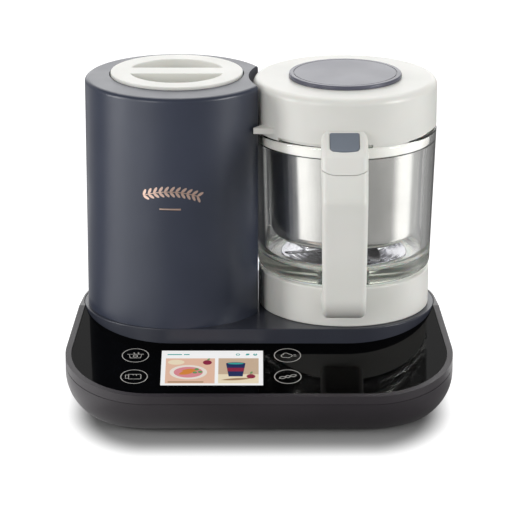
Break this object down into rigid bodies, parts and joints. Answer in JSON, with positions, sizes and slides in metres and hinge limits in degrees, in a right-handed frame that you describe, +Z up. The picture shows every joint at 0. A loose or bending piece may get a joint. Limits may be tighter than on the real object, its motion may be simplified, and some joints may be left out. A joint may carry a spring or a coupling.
{
  "type": "baby food maker",
  "caption": "Countertop steamer and blender: water tower and glass jug with steel basket side by side on a sloping touch-panel base.",
  "frame": {"origin": "on the floor under the middle of the base's bounding box", "axes": "+Z up, +X towards the jug's side, -Y towards the user, who faces the touch panel"},
  "size_m": [0.281, 0.2114, 0.2329],
  "materials": {
    "tower_plastic": "satin moulded",
    "base_plastic": "satin moulded",
    "panel_gloss": "polished",
    "display": "lit screen",
    "white_plastic": "satin moulded",
    "grey_plastic": "satin moulded",
    "button_grey": "satin moulded",
    "jug_glass": "pressed clear",
    "steel": "brushed",
    "silicone": "matt",
    "black_rubber": "matt",
    "tank_clear": "clear",
    "alloy": "cast",
    "heater_steel": "sheathed",
    "board_green": "printed board",
    "foam_black": "conductive foam",
    "motor_iron": "laminated",
    "motor_can": "zinc",
    "bronze": "sintered",
    "drive_black": "moulded"
  },
  "bodies": {
    "base_unit": {"base_tub": "base_plastic", "base_rim": "base_plastic", "control_panel": "panel_gloss", "display_module": "display", "touch_board": "board_green", "touch_sensors": "foam_black", "plinth": "tower_plastic", "rubber_feet": "black_rubber", "base_screws": "steel", "cable_gland": "black_rubber", "power_board": "board_green", "jug_switch": "drive_black", "tower_shell": "tower_plastic", "tank_collar": "tower_plastic", "water_tank": "tank_clear", "steam_nozzle": "silicone", "boiler": "alloy", "heating_ring": "heater_steel", "boiler_stand": "alloy", "thermostat": "alloy", "feed_tube": "silicone", "steam_tube": "silicone", "motor_housing": "motor_can", "motor_stator": "motor_iron", "motor_bushes": "bronze"},
    "motor": {"motor_rotor": "motor_iron", "motor_shaft": "steel", "drive_coupler": "drive_black"},
    "jug": {"glass_jug": "jug_glass", "jug_base_ring": "white_plastic", "glass_gasket": "silicone", "blade_bush": "bronze", "handle_grip": "white_plastic", "handle_head": "white_plastic", "button_spring": "steel"},
    "blades": {"blade_spindle": "steel", "blade_wings": "steel", "blade_nut": "steel", "driven_coupler": "drive_black"},
    "button": {"lid_button": "button_grey"},
    "basket": {"steam_basket": "steel", "basket_band": "white_plastic"},
    "lid_ring": {"lid_seal": "silicone"},
    "lid": {"jug_lid": "white_plastic", "lid_spout": "white_plastic"},
    "cap": {"lid_cap": "grey_plastic", "cap_plug": "grey_plastic"},
    "tank_ring": {"tank_seal": "silicone"},
    "tank_cover": {"tank_lid": "white_plastic"}
  },
  "joints": [
    {"name": "motor_spin", "type": "hinge", "parent": "base_unit", "child": "motor", "pos_m": [0.063, 0.0367, 0.0575], "axis": [0, 0, 1], "continuous": true},
    {"name": "jug_lift", "type": "slide", "parent": "base_unit", "child": "jug", "axis": [0, 0, 1], "range_m": [0, 0.16]},
    {"name": "blade_spin", "type": "hinge", "parent": "jug", "child": "blades", "pos_m": [0.063, 0.0367, 0.0575], "axis": [0, 0, 1], "continuous": true},
    {"name": "button_press", "type": "slide", "parent": "jug", "child": "button", "axis": [0, 0, -1], "range_m": [0, 0.0025], "stiffness_N_per_m": 600, "springref_m": -0.002, "deforming": ["button_spring"]},
    {"name": "basket_lift", "type": "slide", "parent": "jug", "child": "basket", "axis": [0, 0, 1], "range_m": [0, 0.12]},
    {"name": "lid_lift", "type": "slide", "parent": "basket", "child": "lid_ring", "axis": [0, 0, 1], "range_m": [0, 0.08]},
    {"name": "lid_turn", "type": "hinge", "parent": "lid_ring", "child": "lid", "pos_m": [0.063, 0.0367, 0.0575], "axis": [0, 0, 1], "range_deg": [0, 25]},
    {"name": "cap_lift", "type": "slide", "parent": "lid", "child": "cap", "axis": [0, 0, 1], "range_m": [0, 0.03]},
    {"name": "tank_lid_lift", "type": "slide", "parent": "base_unit", "child": "tank_ring", "axis": [0, 0, 1], "range_m": [0, 0.06]},
    {"name": "tank_lid_turn", "type": "hinge", "parent": "tank_ring", "child": "tank_cover", "pos_m": [-0.0605, 0.0437, 0.2235], "axis": [0, 0, 1], "range_deg": [0, 40]}
  ],
  "couplings": [
    {"joint": "blade_spin", "follows": "motor_spin", "ratio": 1}
  ]
}
